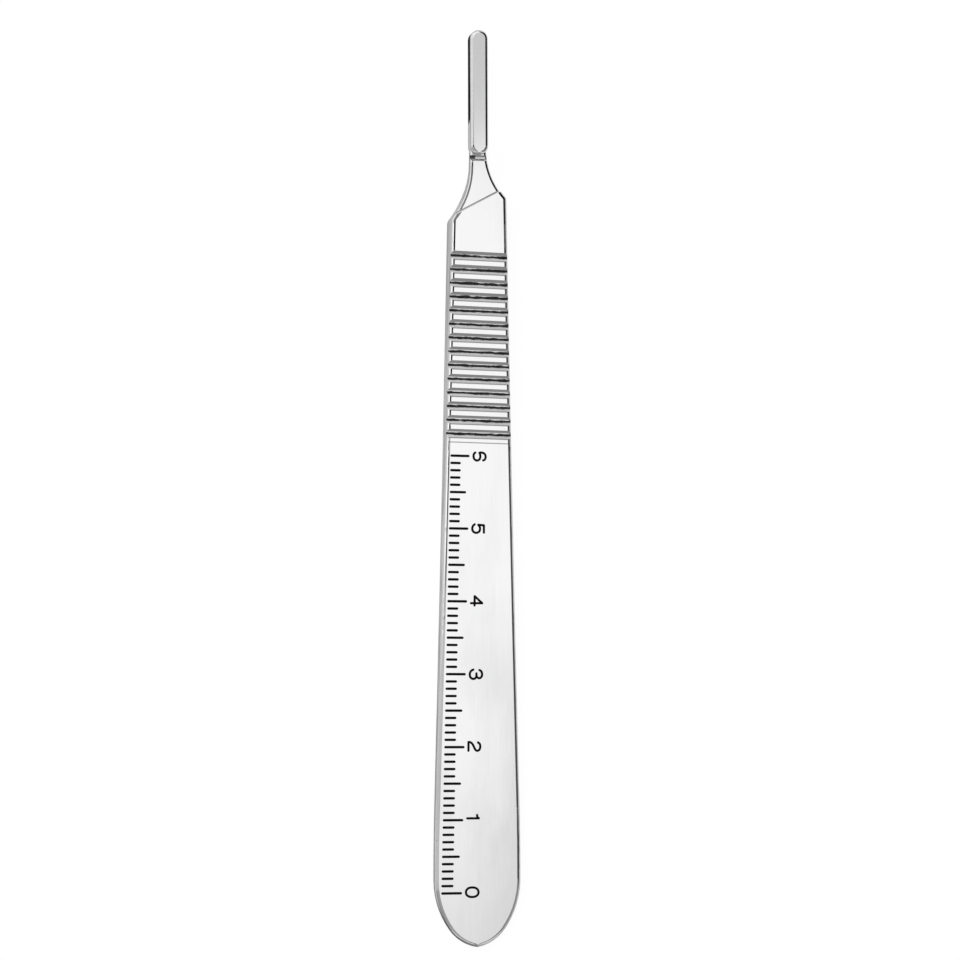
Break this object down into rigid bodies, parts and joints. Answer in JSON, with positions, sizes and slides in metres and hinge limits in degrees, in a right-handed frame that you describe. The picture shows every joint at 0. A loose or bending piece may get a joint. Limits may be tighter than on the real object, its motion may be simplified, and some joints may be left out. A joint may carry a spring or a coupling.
{
  "type": "scalpel handle",
  "caption": "Flat one-piece steel scalpel handle with a cross-grooved grip, a millimetre scale, a rounded tail and a slotted post for a detachable blade.",
  "frame": {"origin": "on the plane that the back rests on, under the middle of the bounding box", "axes": "+Z out of the face with the scale, +Y along the handle towards the blade post, +X to the right of somebody who looks at that face with the post upwards"},
  "size_m": [0.0122, 0.1266, 0.0039],
  "materials": {
    "steel": "polished stainless steel with very fine lengthwise grind lines",
    "marking": "matt black marking of the scale and its figures"
  },
  "bodies": {
    "root": {"scalpel_handle": "steel"}
  },
  "joints": []
}
